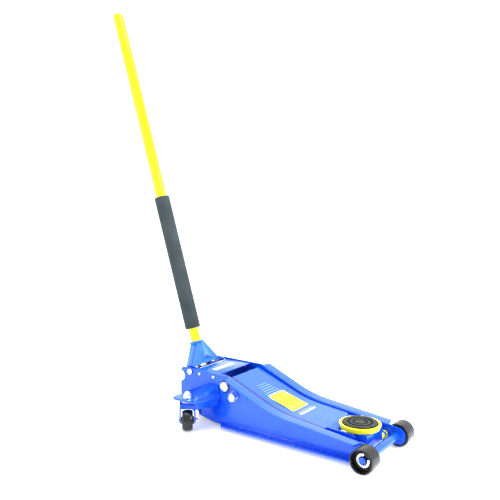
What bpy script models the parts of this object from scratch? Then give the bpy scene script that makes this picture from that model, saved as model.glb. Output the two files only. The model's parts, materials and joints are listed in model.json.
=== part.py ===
"""Hydraulic trolley jack: a long low chassis on two front rollers and two rear casters, with a lift
arm, a saddle that stays level, and a long handle that pumps and, when twisted, releases.

X runs from the handle (rear) to the saddle (front), Y to the left, Z up. The origin is on the floor
under the middle of the whole jack. Lengths are metres.
"""

import bmesh
import bpy
import numpy as np
from math import acos, atan2, cos, hypot, pi, radians, sin, tan
from mathutils import Matrix, Vector

# --- Driving dimensions -------------------------------------------------------------------------
GAP = 0.0003
FRONT_AXLE_X = 0.5309
ROLLER_RADIUS = 0.035
ROLLER_WIDTH = 0.052
ROLLER_INNER_Y = 0.097

WEB_OUTER_Y = 0.094
PLATE_THICKNESS = 0.005
CHASSIS_TOP_Z = 0.174
CHASSIS_REAR_X = FRONT_AXLE_X - 0.696
TOP_FLANGE_Y = 0.125
BOTTOM_FLANGE_Y = 0.117
BOTTOM_FLANGE_Z = 0.013

ARM_PIVOT = (FRONT_AXLE_X - 0.509, 0.138)
LINK_PIVOT = (FRONT_AXLE_X - 0.473, 0.112)
SADDLE_PIVOT = (FRONT_AXLE_X - 0.074, 0.060)
LINK_FRONT = (
    SADDLE_PIVOT[0] + LINK_PIVOT[0] - ARM_PIVOT[0],
    SADDLE_PIVOT[1] + LINK_PIVOT[1] - ARM_PIVOT[1],
)
ARM_TRAVEL = radians(58)
ARM_PIN_RADIUS = 0.013
SADDLE_X = FRONT_AXLE_X - 0.076
SADDLE_TOP_Z = 0.090
SADDLE_RADIUS = 0.0625

YOKE_PIVOT = (FRONT_AXLE_X - 0.654, 0.163)
HANDLE_TILT = radians(17.8)
HANDLE_OFFSET = -0.0290
COLLAR_HEIGHT = 0.0912
HANDLE_LENGTH = 1.220
LOWER_TUBE_RADIUS = 0.0170
UPPER_TUBE_RADIUS = 0.0187
GRIP_RADIUS = 0.0263

CASTER_X = FRONT_AXLE_X - 0.608
CASTER_Y = 0.162
CASTER_WHEEL_RADIUS = 0.033
CASTER_TRAIL = 0.022
CASTER_HEADING = radians(-49.4)
WING_TOP_Z = 0.100

RAM_AXIS_Z = 0.082
RAM_LEVER = 0.060
RAM_RADIUS = 0.013
PUMP_LEVER = 0.026
PUMP_LEVER_ANGLE = radians(18)
PUMP_Y = 0.022
PUMP_ROLLER_RADIUS = 0.007


# --- Collections, materials and object helpers --------------------------------------------------
def clear_scene():
    for obj in list(bpy.data.objects):
        bpy.data.objects.remove(obj)


def make_collection(name):
    collection = bpy.data.collections.new(name)
    bpy.context.scene.collection.children.link(collection)
    return collection


def make_material(name, colour, roughness, metallic=0.0):
    material = bpy.data.materials.new(name)
    material.use_nodes = True
    shader = material.node_tree.nodes["Principled BSDF"]
    shader.inputs["Base Color"].default_value = (*colour, 1.0)
    shader.inputs["Roughness"].default_value = roughness
    shader.inputs["Metallic"].default_value = metallic
    material.diffuse_color = (*colour, 1.0)
    return material


clear_scene()
JACK = make_collection("trolley_jack")
CUTTERS = make_collection("cutters")
BLUE = make_material("blue_paint", (0.016, 0.10, 0.80), 0.25)
NAVY = make_material("navy_paint", (0.01, 0.02, 0.25), 0.35)
YELLOW = make_material("yellow_paint", (0.95, 0.86, 0.02), 0.30)
BLACK = make_material("black_steel", (0.03, 0.033, 0.036), 0.40, 0.4)
ZINC = make_material("zinc_plate", (0.80, 0.82, 0.82), 0.22, 1.0)
CASTING = make_material("cast_iron", (0.10, 0.11, 0.12), 0.55, 0.6)
CHROME = make_material("hard_chrome", (0.75, 0.76, 0.78), 0.10, 1.0)
SPRING = make_material("spring_steel", (0.20, 0.20, 0.21), 0.35, 1.0)
RUBBER = make_material("saddle_rubber", (0.09, 0.095, 0.095), 0.75)
FOAM = make_material("foam_grip", (0.10, 0.12, 0.13), 0.85)


def link(name, data, material, collection=JACK):
    obj = bpy.data.objects.new(name, data)
    collection.objects.link(obj)
    if material:
        data.materials.clear()
        data.materials.append(material)
    return obj


def place(obj, location=(0, 0, 0), rotation=(0, 0, 0)):
    obj.location = location
    obj.rotation_euler = rotation
    return obj


def smooth(mesh, angle=35):
    mesh.shade_smooth()
    mesh.set_sharp_from_angle(angle=radians(angle))


def modify(obj, kind, **settings):
    modifier = obj.modifiers.new(kind.title(), kind)
    for key, value in settings.items():
        setattr(modifier, key, value)
    return modifier


def hide_cutter(obj):
    obj.hide_render = True
    obj.display_type = "WIRE"
    obj.data.materials.clear()
    for collection in list(obj.users_collection):
        collection.objects.unlink(obj)
    CUTTERS.objects.link(obj)


def combine(obj, others, operation):
    for other in others:
        hide_cutter(other)
        modify(obj, "BOOLEAN", object=other, operation=operation, solver="EXACT")
    return obj


def cut(obj, *cutters):
    return combine(obj, cutters, "DIFFERENCE")


def join(obj, *others):
    return combine(obj, others, "UNION")


# --- Outlines -----------------------------------------------------------------------------------
def rounded(corners, error=0.0004):
    """Turns (u, v, radius) corners into the points of an outline with round corners."""
    points = []
    count = len(corners)
    for i, (u, v, radius) in enumerate(corners):
        here = Vector((u, v))
        if radius == 0:
            points.append(here)
            continue
        back = (Vector(corners[i - 1][:2]) - here).normalized()
        ahead = (Vector(corners[(i + 1) % count][:2]) - here).normalized()
        half = acos(max(-1.0, min(1.0, back.dot(ahead)))) / 2
        reach = radius / tan(half)
        centre = here + (back + ahead).normalized() * (radius / sin(half))
        first = here + back * reach - centre
        turn = (pi - 2 * half) * (1 if back.cross(ahead) < 0 else -1)
        step = 2 * acos(max(0.0, 1 - error / radius))
        pieces = max(2, round(abs(turn) / step))
        for k in range(pieces + 1):
            angle = turn * k / pieces
            points.append(centre + Vector((first.x * cos(angle) - first.y * sin(angle),
                                           first.x * sin(angle) + first.y * cos(angle))))
    return [(p.x, p.y) for p in points]


def circle(u, v, radius, count=16):
    return [(u + radius * cos(2 * pi * k / count), v + radius * sin(2 * pi * k / count))
            for k in range(count)]


def hexagon(radius, turn=0.0):
    return [(radius * cos(turn + pi * k / 3), radius * sin(turn + pi * k / 3)) for k in range(6)]


# Turns of a flat outline: in the XZ plane (thickness along Y), the YZ plane or the XY plane.
SIDE_ON = (pi / 2, 0, 0)
FACE_ON = (pi / 2, 0, pi / 2)
PLAN = (0, 0, 0)


def flat(name, outlines, thickness, material, location, rotation, collection=JACK):
    """A plate cut to the first outline, with the others as its holes, as a mesh object."""
    curve = bpy.data.curves.new(name + "_outline", "CURVE")
    curve.dimensions = "2D"
    curve.fill_mode = "BOTH"
    curve.extrude = thickness / 2
    for outline in outlines:
        spline = curve.splines.new("POLY")
        spline.points.add(len(outline) - 1)
        for point, (u, v) in zip(spline.points, outline):
            point.co = (u, v, 0, 1)
        spline.use_cyclic_u = True
    source = link(name + "_outline", curve, None)
    mesh = mesh_of(source, name)
    bpy.data.objects.remove(source)
    smooth(mesh, 30)
    return place(link(name, mesh, material, collection), location, rotation)


def mesh_of(obj, name):
    """The evaluated mesh of a curve object, with its caps welded on."""
    graph = bpy.context.evaluated_depsgraph_get()
    graph.update()
    mesh = bpy.data.meshes.new_from_object(obj.evaluated_get(graph))
    mesh.name = name
    edit = bmesh.new()
    edit.from_mesh(mesh)
    bmesh.ops.remove_doubles(edit, verts=edit.verts, dist=0.00002)
    edit.to_mesh(mesh)
    edit.free()
    return mesh


# --- Solids -------------------------------------------------------------------------------------
def box(name, low, high, material, collection=JACK):
    """A box between two corners, with its origin in the middle."""
    size = [h - l for l, h in zip(low, high)]
    middle = [(h + l) / 2 for l, h in zip(low, high)]
    edit = bmesh.new()
    bmesh.ops.create_cube(edit, size=1.0)
    bmesh.ops.scale(edit, verts=edit.verts, vec=size)
    mesh = bpy.data.meshes.new(name)
    edit.to_mesh(mesh)
    edit.free()
    return place(link(name, mesh, material, collection), middle)


def rod(name, radius, length, material, location, rotation=(0, 0, 0), segments=16):
    """A round bar centred on its location, along local Z."""
    edit = bmesh.new()
    bmesh.ops.create_cone(edit, cap_ends=True, segments=segments, radius1=radius, radius2=radius,
                          depth=length)
    mesh = bpy.data.meshes.new(name)
    edit.to_mesh(mesh)
    edit.free()
    smooth(mesh)
    return place(link(name, mesh, material), location, rotation)


ALONG_Y = (-pi / 2, 0, 0)
ALONG_X = (0, pi / 2, 0)


def turned(name, profile, material, location, rotation=(0, 0, 0), steps=20, closed=False):
    """A turned piece: (radius, height) points down its outer side, closed on itself for a ring."""
    mesh = bpy.data.meshes.new(name)
    edges = [(i, i + 1) for i in range(len(profile) - 1)]
    if closed:
        edges.append((len(profile) - 1, 0))
    mesh.from_pydata([(radius, 0, height) for radius, height in profile], edges, [])
    obj = place(link(name, mesh, material), location, rotation)
    modify(obj, "SCREW", angle=2 * pi, steps=steps, render_steps=steps, axis="Z",
           use_merge_vertices=True, merge_threshold=0.00001, use_smooth_shade=True)
    return obj


def coil(name, radius, wire, length, turns, location, rotation=(0, 0, 0), per_turn=8):
    """A coil spring along local Z, from its location up, with closed ends."""
    count = turns * per_turn + 1
    share = np.linspace(0, 1, count)
    eased = np.clip((share * turns - 0.5) / (turns - 1.0), 0, 1)
    angle = 2 * pi * turns * share
    height = wire / 2 + eased * (length - wire)
    curve = bpy.data.curves.new(name, "CURVE")
    curve.dimensions = "3D"
    curve.bevel_depth = wire / 2
    curve.bevel_resolution = 1
    curve.use_fill_caps = True
    spline = curve.splines.new("POLY")
    spline.points.add(count - 1)
    for point, a, h in zip(spline.points, angle, height):
        point.co = (radius * cos(a), radius * sin(a), h, 1)
    return place(link(name, curve, SPRING), location, rotation)


def hull(name, points, material):
    """The convex solid around a handful of corner points."""
    edit = bmesh.new()
    verts = [edit.verts.new(point) for point in points]
    bmesh.ops.convex_hull(edit, input=verts)
    bmesh.ops.recalc_face_normals(edit, faces=edit.faces)
    mesh = bpy.data.meshes.new(name)
    edit.to_mesh(mesh)
    edit.free()
    return link(name, mesh, material)


def forward(distance):
    """The X of a point this far behind the front axle."""
    return FRONT_AXLE_X - distance


SIDES = (("left", 1), ("right", -1))


# --- Chassis ------------------------------------------------------------------------------------
def top_edge(x):
    """Height of the side plate's top edge between its rear flat and the front boss."""
    ramp = CHASSIS_TOP_Z - 0.42 * (x - forward(0.492))
    nose = 0.069 - 0.105 * (x - forward(0.036))
    return ramp, nose


def ramp_corner():
    """Where the steep ramp and the shallow nose of the top edge would meet."""
    x = forward(0.492) + (CHASSIS_TOP_Z - 0.069 - 0.105 * (forward(0.036) - forward(0.492))) / 0.315
    return x, top_edge(x)[1]


def side_plate_outline():
    knee_x, knee_z = ramp_corner()
    boss = [(FRONT_AXLE_X + 0.028 * cos(a), ROLLER_RADIUS + 0.028 * sin(a), 0)
            for a in np.linspace(radians(62), radians(-72), 11)]
    notch = [(CHASSIS_REAR_X - 0.002 + 0.0180 * cos(a), 0.1435 + 0.0180 * sin(a), 0)
             for a in np.linspace(radians(-83), radians(83), 9)]
    corners = [
        (CHASSIS_REAR_X, CHASSIS_TOP_Z, 0.0115),
        (forward(0.492), CHASSIS_TOP_Z, 0.060),
        (knee_x, knee_z, 0.390),
        (forward(0.036), 0.069, 0.030),
        *boss,
        (forward(0.020), 0.010, 0),
        (forward(0.550), 0.010, 0.020),
        (forward(0.640), 0.028, 0.020),
        (CHASSIS_REAR_X, 0.062, 0.012),
        *notch,
    ]
    return rounded(corners)


def web_holes():
    return [
        circle(YOKE_PIVOT[0], YOKE_PIVOT[1], 0.0063),
        circle(forward(0.615), 0.161, 0.0033, 12),
        circle(forward(0.557), 0.160, 0.0033, 12),
        circle(ARM_PIVOT[0], ARM_PIVOT[1], ARM_PIN_RADIUS + GAP, 24),
        circle(LINK_PIVOT[0], LINK_PIVOT[1], 0.0083),
        circle(forward(0.621), 0.032, 0.0063),
        circle(FRONT_AXLE_X, ROLLER_RADIUS, 0.0127, 20),
    ]


def flange_strip_outline():
    """The top flange seen from the side: a band that follows the top edge."""
    knee_x, knee_z = ramp_corner()
    knee_z -= GAP
    start_x, end_x = forward(0.488), forward(0.0265)
    start_z, end_z = top_edge(start_x)[0] - GAP, top_edge(end_x)[1] - GAP
    upper = [(start_x, start_z, 0), (knee_x, knee_z, 0.390), (end_x, end_z, 0)]
    lower = [(end_x, end_z - PLATE_THICKNESS, 0), (knee_x, knee_z - PLATE_THICKNESS, 0.385),
             (start_x, start_z - PLATE_THICKNESS, 0)]
    return rounded(upper + lower)


def top_flange(name, side):
    """Flange bent outward along the top edge, its outer front corner cut off."""
    inner = WEB_OUTER_Y - PLATE_THICKNESS / 2
    strip = flat(name, [flange_strip_outline()], TOP_FLANGE_Y - inner, None,
                 (0, side * (TOP_FLANGE_Y + inner) / 2, 0), SIDE_ON)
    corner = hull(name + "_corner", [
        (forward(x), side * y, z) for x, y in ((0.036, 0.127), (0.024, 0.113), (0.024, 0.127))
        for z in (0.060, 0.080)
    ], None)
    return cut(strip, corner)


def side_plate(side_name, side):
    web_y = side * (WEB_OUTER_Y - PLATE_THICKNESS / 2)
    name = f"side_plate_{side_name}"
    web = flat(name, [side_plate_outline(), *web_holes()], PLATE_THICKNESS, BLUE,
               (0, web_y, 0), SIDE_ON)
    reach = (side * (WEB_OUTER_Y - PLATE_THICKNESS / 2), side * BOTTOM_FLANGE_Y)
    low = (forward(0.506), min(reach), BOTTOM_FLANGE_Z - PLATE_THICKNESS / 2)
    high = (forward(0.050), max(reach), BOTTOM_FLANGE_Z + PLATE_THICKNESS / 2)
    bottom = box(name + "_bottom", low, high, None)
    return join(web, top_flange(name + "_top", side), bottom)


def wing_outline(side):
    root = side * (WEB_OUTER_Y + GAP)
    return rounded([
        (forward(0.656), root, 0),
        (forward(0.655), side * 0.190, 0.017),
        (forward(0.560), side * 0.190, 0.012),
        (forward(0.531), side * 0.112, 0.010),
        (forward(0.525), root, 0),
    ])


def caster_bracket(side_name, side):
    """Wing plate over the caster, the pressed gusset above it and the short skirt in front."""
    name = f"caster_bracket_{side_name}"
    root = side * (WEB_OUTER_Y + GAP)
    wing = flat(name, [wing_outline(side), circle(CASTER_X, side * CASTER_Y, 0.0064)],
                0.006, BLUE, (0, 0, WING_TOP_Z - 0.003), PLAN)
    ledge = WING_TOP_Z - 0.003
    gusset = hull(name + "_gusset", [
        (forward(0.647), root, ledge), (forward(0.525), root, ledge),
        (forward(0.575), root, 0.139), (forward(0.535), root, 0.139),
        (forward(0.580), side * 0.160, ledge), (forward(0.565), side * 0.180, ledge),
        (forward(0.535), side * 0.112, ledge), (forward(0.530), side * 0.098, 0.120),
    ], None)
    skirt = hull(name + "_skirt", [
        (forward(x), side * y, z)
        for x, y in ((0.5605, 0.180), (0.5575, 0.179), (0.531, 0.106), (0.528, 0.106))
        for z in (0.074, WING_TOP_Z - 0.002)
    ], None)
    return join(wing, gusset, skirt)


def front_axle():
    shoulder = WEB_OUTER_Y + 0.0025
    profile = [(0, 0.139), (0.0105, 0.139), (0.0105, shoulder), (0.0123, shoulder),
               (0.0123, -shoulder), (0.0105, -shoulder), (0.0105, -0.139), (0, -0.139)]
    turned("front_axle", profile, BLUE, (FRONT_AXLE_X, 0, ROLLER_RADIUS), ALONG_Y, 20)


def axle_clip(side_name, side):
    """Open ring that holds the roller on, its gap at the upper front."""
    y = ROLLER_INNER_Y + 0.035 + 0.0019
    outer = [(0.0205 * cos(a), 0.0205 * sin(a)) for a in np.linspace(radians(80), radians(380), 28)]
    inner = [(0.0109 * cos(a), 0.0109 * sin(a)) for a in np.linspace(radians(380), radians(80), 24)]
    flat(f"axle_clip_{side_name}", [outer + inner], 0.0025, ZINC,
         (FRONT_AXLE_X, side * y, ROLLER_RADIUS), SIDE_ON)


def rear_cover():
    """Bent sheet between the side plates, behind the lift arm."""
    outer = WEB_OUTER_Y - PLATE_THICKNESS - 0.0008
    section = rounded([
        (-outer, 0.150, 0), (-outer, 0.172, 0.004), (outer, 0.172, 0.004), (outer, 0.150, 0),
        (outer - 0.003, 0.150, 0), (outer - 0.003, 0.169, 0.001),
        (-outer + 0.003, 0.169, 0.001), (-outer + 0.003, 0.150, 0),
    ])
    cover = flat("rear_cover", [section], 0.099, BLUE, (forward(0.5865), 0, 0), FACE_ON)
    lip = box("rear_cover_lip", (forward(0.636), -0.070, 0.162), (forward(0.633), 0.070, 0.171), None)
    holes = [rod(f"cover_hole_{i}", 0.0033, 0.2, None, (forward(d), 0, z), ALONG_Y, 12)
             for i, (d, z) in enumerate(((0.615, 0.161), (0.557, 0.160)))]
    join(cover, lip)
    cut(cover, *holes)


def cover_screws():
    for place_name, distance, height in (("rear", 0.615, 0.161), ("front", 0.557, 0.160)):
        for side_name, side in SIDES:
            profile = [(0, 0.0032), (0.0028, 0.0030), (0.0048, 0.0018), (0.0052, 0.0003),
                       (0.0030, 0.0003), (0.0030, -0.0125), (0, -0.0125)]
            turned(f"cover_screw_{place_name}_{side_name}", profile, ZINC,
                   (forward(distance), side * WEB_OUTER_Y, height),
                   (-side * pi / 2, 0, 0), 16)


def hex_bolt(name, shank_radius, length, head_radius, head_height, location, nut=False, turn=0.0):
    """A bolt along Y through both side plates, hexagon head on each end."""
    half = length / 2
    shank = rod(name, shank_radius, length + head_height, ZINC, location, ALONG_Y, 20)
    x, _, z = location
    heads = []
    for side in (1, -1):
        y = side * (half + head_height / 2)
        heads.append(flat(f"{name}_head{side}", [hexagon(head_radius, turn)], head_height, None,
                          (x, y, z), SIDE_ON))
    return join(shank, *heads)


def link_bolt(side_name, side):
    """Hexagon bolt with a washer that carries a tie rod's rear eye inside the side plate."""
    x, z = LINK_PIVOT
    name = f"link_bolt_{side_name}"
    profile = [(0, 0.0002), (0.0172, 0.0002), (0.0172, -0.0022), (0.0080, -0.0022),
               (0.0080, -0.0240), (0, -0.0240)]
    bolt = turned(name, profile, ZINC, (x, side * (WEB_OUTER_Y + GAP + 0.0022), z),
                  (-side * pi / 2, 0, 0), 24)
    head = flat(name + "_head", [hexagon(0.0150, 0.3)], 0.0124, None,
                (x, side * (WEB_OUTER_Y + GAP + 0.0082), z), SIDE_ON)
    return join(bolt, head)


def arm_pivot_pin():
    face = WEB_OUTER_Y + GAP
    end = [(0, face + 0.0070), (0.0141, face + 0.0070), (0.0153, face + 0.0058),
           (0.0153, face + 0.0015), (0.0188, face + 0.0015), (0.0188, face),
           (ARM_PIN_RADIUS, face)]
    profile = end + [(radius, -height) for radius, height in reversed(end)]
    turned("arm_pivot_pin", profile, ZINC, (ARM_PIVOT[0], 0, ARM_PIVOT[1]), ALONG_Y, 24)


def chassis():
    for side_name, side in SIDES:
        side_plate(side_name, side)
        caster_bracket(side_name, side)
        axle_clip(side_name, side)
        link_bolt(side_name, side)
    front_axle()
    rear_cover()
    cover_screws()
    arm_pivot_pin()
    outer = 2 * (WEB_OUTER_Y + GAP)
    hex_bolt("rear_tie_bolt", 0.0060, outer, 0.0105, 0.0080, (forward(0.621), 0, 0.032))
    hex_bolt("yoke_shaft", 0.0060, outer, 0.0100, 0.0060, (YOKE_PIVOT[0], 0, YOKE_PIVOT[1]),
             turn=0.25)


# --- Front rollers and rear casters -------------------------------------------------------------
def front_roller(side_name, side):
    """Steel roller with a deep dished outer face; local Z points outward."""
    w, r = ROLLER_WIDTH, ROLLER_RADIUS
    profile = [(0.0312, w), (0.0338, w - 0.0006), (r, w - 0.0022), (r, 0.0022),
               (0.0335, 0), (0.0109, 0), (0.0109, 0.035), (0.0215, 0.035), (0.0235, 0.0325),
               (0.0270, 0.0325), (0.0296, 0.0360)]
    turned(f"front_roller_{side_name}", profile, BLACK,
           (FRONT_AXLE_X, side * ROLLER_INNER_Y, ROLLER_RADIUS), (-side * pi / 2, 0, 0), 28,
           closed=True)


def caster_stem(side_name, side):
    """Stem bolt and dome nut that hold the caster under its wing plate."""
    top = WING_TOP_Z + GAP
    name = f"caster_stem_{side_name}"
    profile = [(0, top + 0.0215), (0.0048, top + 0.0205), (0.0085, top + 0.0170),
               (0.0095, top + 0.0130), (0.0150, top + 0.0035), (0.0155, top), (0.0061, top),
               (0.0061, 0.0727), (0.0090, 0.0727), (0.0090, 0.0685), (0, 0.0685)]
    stem = turned(name, profile, ZINC, (CASTER_X, side * CASTER_Y, 0), (0, 0, 0), 16)
    nut = flat(name + "_nut", [hexagon(0.0135, 0.35)], 0.0120, None,
               (CASTER_X, side * CASTER_Y, top + 0.0068), PLAN)
    return join(stem, nut)


def caster_bearing(side_name, side):
    profile = [(0.0165, 0.0935), (0.0190, 0.0925), (0.0200, 0.0905), (0.0185, 0.0890),
               (0.0200, 0.0875), (0.0190, 0.0850), (0.0066, 0.0843), (0.0066, 0.0935)]
    turned(f"caster_bearing_{side_name}", profile, ZINC, (CASTER_X, side * CASTER_Y, 0),
           (0, 0, 0), 16, closed=True)


def caster_fork(side_name, side, heading):
    """Bent fork: a top plate under the bearing and two legs that trail to the wheel axle."""
    name = f"caster_fork_{side_name}"
    home = (CASTER_X, side * CASTER_Y, 0)
    plate = rounded([(-0.020, -0.0255, 0.006), (0.022, -0.0255, 0.004), (0.022, 0.0255, 0.004),
                     (-0.020, 0.0255, 0.006)])
    fork = flat(name, [plate, circle(0, 0, 0.0066)], 0.005, BLUE,
                (home[0], home[1], 0.0815), (0, 0, heading))
    leg = rounded([(-0.018, 0.0835, 0), (-0.018, 0.0700, 0.010), (0.0105, 0.0235, 0.009),
                   (0.0335, 0.0235, 0.010), (0.0335, 0.0440, 0.010), (0.022, 0.0835, 0)])
    turn = Matrix.Rotation(heading, 4, "Z")
    for i, lateral in enumerate((-0.0235, 0.0235)):
        offset = turn @ Vector((0, lateral, 0))
        blade = flat(f"{name}_leg{i}", [leg, circle(CASTER_TRAIL, 0.033, 0.0044, 12)], 0.004, None,
                     (home[0] + offset.x, home[1] + offset.y, 0), (pi / 2, 0, heading))
        join(fork, blade)
    for i, ahead in enumerate((-0.0185, 0.0205)):
        offset = turn @ Vector((ahead, 0, 0))
        lip = flat(f"{name}_lip{i}", [[(-0.0225, 0.0688), (0.0225, 0.0688), (0.0225, 0.0830),
                                       (-0.0225, 0.0830)]], 0.003, None,
                   (home[0] + offset.x, home[1] + offset.y, 0), (pi / 2, 0, heading + pi / 2))
        join(fork, lip)
    return fork


def caster_wheel(side_name, side, heading):
    """Solid wheel with a crowned tread; local Z is its axle."""
    r = CASTER_WHEEL_RADIUS
    profile = [(0.0120, 0.0205), (0.0120, 0.0155), (0.0270, 0.0168), (r - 0.0030, 0.0155),
               (r - 0.0002, 0.0085), (r, 0), (r - 0.0002, -0.0085), (r - 0.0030, -0.0155),
               (0.0270, -0.0168), (0.0120, -0.0155), (0.0120, -0.0205), (0.0044, -0.0205),
               (0.0044, 0.0205)]
    turned(f"caster_wheel_{side_name}", profile, BLACK, caster_axle_point(side, heading),
           (-pi / 2, 0, heading), 20, closed=True)


def caster_axle_point(side, heading):
    return (CASTER_X + CASTER_TRAIL * cos(heading), side * CASTER_Y + CASTER_TRAIL * sin(heading),
            CASTER_WHEEL_RADIUS)


def caster_axle(side_name, side, heading):
    profile = [(0, 0.0320), (0.0045, 0.0318), (0.0068, 0.0300), (0.0068, 0.0258), (0.0041, 0.0258),
               (0.0041, -0.0258), (0.0068, -0.0258), (0.0068, -0.0300), (0.0045, -0.0318),
               (0, -0.0320)]
    turned(f"caster_axle_{side_name}", profile, ZINC, caster_axle_point(side, heading),
           (-pi / 2, 0, heading), 16)


def wheels():
    for side_name, side in SIDES:
        heading = -side * CASTER_HEADING
        front_roller(side_name, side)
        caster_stem(side_name, side)
        caster_bearing(side_name, side)
        caster_fork(side_name, side, heading)
        caster_wheel(side_name, side, heading)
        caster_axle(side_name, side, heading)


# --- Lift arm, tie rods and saddle --------------------------------------------------------------
ARM_PLATE_Y = 0.065
ARM_SHEET = 0.004
TIE_ROD_Y = 0.0775
BLOCK_HALF_WIDTH = 0.052
RAM_PIN_START = (ARM_PIVOT[0] - RAM_LEVER * sin(ARM_TRAVEL / 2),
                 ARM_PIVOT[1] - RAM_LEVER * cos(ARM_TRAVEL / 2))


def arm_line(drop):
    """Rear end, knee and front end of the lift arm's top line, lowered by this much."""
    knee_x, knee_z = ramp_corner()
    front_x = forward(0.151)
    return ((forward(0.500), CHASSIS_TOP_Z - 0.0095 - drop), (knee_x, knee_z - 0.0065 - drop),
            (front_x, top_edge(front_x)[1] - 0.0065 - drop))


def arm_side_plate(side_name, side):
    """Side of the lift arm, from the pivot boss with its ram lug to the saddle pivot."""
    ax, az = ARM_PIVOT
    bx, bz = SADDLE_PIVOT
    rear, knee, front = arm_line(ARM_SHEET + 0.0006)
    outline = rounded([
        (ax - 0.028, rear[1] - 0.006, 0.018),
        (*rear, 0.004),
        (*knee, 0.390),
        (front[0] + 0.0010, front[1], 0),
        (front[0] + 0.0030, 0.0755, 0),
        (bx + 0.0145, 0.0715, 0.010),
        (bx + 0.0165, bz - 0.0165, 0.015),
        (ramp_corner()[0] - 0.015, 0.058, 0.200),
        (ax + 0.030, 0.098, 0.040),
        (RAM_PIN_START[0] + 0.016, RAM_PIN_START[1] - 0.013, 0.013),
        (RAM_PIN_START[0] - 0.016, RAM_PIN_START[1] - 0.013, 0.013),
    ])
    holes = [circle(ax, az, ARM_PIN_RADIUS + GAP, 24), circle(bx, bz, 0.0093),
             circle(*RAM_PIN_START, 0.0083)]
    flat(f"arm_side_plate_{side_name}", [outline, *holes], 0.006, BLUE,
         (0, side * ARM_PLATE_Y, 0), SIDE_ON)


def arm_top_plate():
    """Wide curved plate over the arm, with a narrower tongue that dips under the saddle."""
    tongue = (forward(0.122), 0.0665)
    upper = [(*point, radius) for point, radius in zip(arm_line(0), (0, 0.390, 0.012))]
    lower = [(*point, radius) for point, radius in zip(arm_line(ARM_SHEET), (0, 0.390, 0.012))]
    upper.append((*tongue, 0))
    lower = [(tongue[0], tongue[1] - ARM_SHEET, 0), *reversed(lower)]
    sheet = flat("arm_top_plate", [rounded(upper + lower)], 0.174, BLUE, (0, 0, 0),
                 SIDE_ON)
    blank = flat("arm_top_plate_plan", [rounded([
        (forward(0.520), -0.087, 0), (forward(0.520), 0.087, 0), (forward(0.163), 0.087, 0),
        (forward(0.151), 0.074, 0), (forward(0.151), 0.060, 0), (forward(0.110), 0.052, 0),
        (forward(0.110), -0.052, 0), (forward(0.151), -0.060, 0), (forward(0.151), -0.074, 0),
        (forward(0.163), -0.087, 0),
    ])], 0.4, None, (0, 0, 0.1), PLAN)
    return combine(sheet, [blank], "INTERSECT")


def lift_arm():
    for side_name, side in SIDES:
        arm_side_plate(side_name, side)
    arm_top_plate()
    inner = ARM_PLATE_Y - 0.003 - GAP
    turned("arm_cross_tube", [(0.012, inner), (0.012, -inner), (0.009, -inner), (0.009, inner)],
           BLUE, (forward(0.235), 0, 0.067), ALONG_Y, 20, closed=True)
    rod("ram_pin", 0.0080, 2 * (ARM_PLATE_Y + 0.006), ZINC,
        (RAM_PIN_START[0], 0, RAM_PIN_START[1]), ALONG_Y, 20)


def tie_rod(side_name, side):
    """Flat bar parallel to the arm that keeps the saddle level."""
    cx, cz = LINK_PIVOT
    dx, dz = LINK_FRONT
    length = hypot(dx - cx, dz - cz)
    slope = atan2(dz - cz, dx - cx)
    half = 0.0062
    eye = 0.0125
    outline = rounded([
        (-eye, eye, 0.010), (0.018, eye, 0.012), (0.034, half, 0.012), (length - 0.030, half, 0.012),
        (length - 0.014, 0.0105, 0.010), (length + 0.0105, 0.0105, 0.0095),
        (length + 0.0105, -0.0105, 0.0095), (length - 0.014, -0.0105, 0.010),
        (length - 0.030, -half, 0.012), (0.034, -half, 0.012), (0.018, -eye, 0.012),
        (-eye, -eye, 0.010),
    ])
    flat(f"tie_rod_{side_name}", [outline, circle(0, 0, 0.0083), circle(length, 0, 0.0078, 20)],
         0.008, BLUE, (cx, side * TIE_ROD_Y, cz), (pi / 2, -slope, 0))


def saddle_block():
    """Block that carries the saddle, pivoted on the arm and steered by the tie rods."""
    bx, bz = SADDLE_PIVOT
    dx, dz = LINK_FRONT
    outline = rounded([
        (bx - 0.020, 0.0717, 0.006), (forward(0.028), 0.0717, 0.005),
        (forward(0.028), dz - 0.010, 0.009), (dx - 0.012, dz - 0.010, 0.009),
        (bx - 0.020, bz - 0.014, 0.010),
    ])
    block = flat("saddle_block", [outline, circle(bx, bz, 0.0083), circle(dx, dz, 0.0073, 20)],
                 2 * BLOCK_HALF_WIDTH, BLUE, (0, 0, 0), SIDE_ON)
    deck = flat("saddle_block_deck", [circle(0, 0, 0.044, 24)], 0.0030, None,
                (SADDLE_X, 0, 0.0702), PLAN)
    spigot = rod("saddle_block_spigot", 0.020, 0.0075, None, (SADDLE_X, 0, 0.0745), segments=20)
    join(block, deck, spigot)
    half = ARM_PLATE_Y + 0.006
    rod("saddle_pivot_pin", 0.0080, 2 * half, ZINC, (bx, 0, bz), ALONG_Y, 20)
    sleeve = BLOCK_HALF_WIDTH + GAP
    end = TIE_ROD_Y + 0.0105
    profile = [(0, end), (0.0125, end), (0.0125, TIE_ROD_Y + 0.0045),
               (0.0070, TIE_ROD_Y + 0.0045), (0.0070, TIE_ROD_Y - 0.0045),
               (0.0100, TIE_ROD_Y - 0.0045), (0.0100, sleeve), (0.0070, sleeve)]
    mirrored = [(radius, -height) for radius, height in reversed(profile)]
    turned("link_pin", profile + mirrored, YELLOW, (dx, 0, dz), ALONG_Y, 16)


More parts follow.
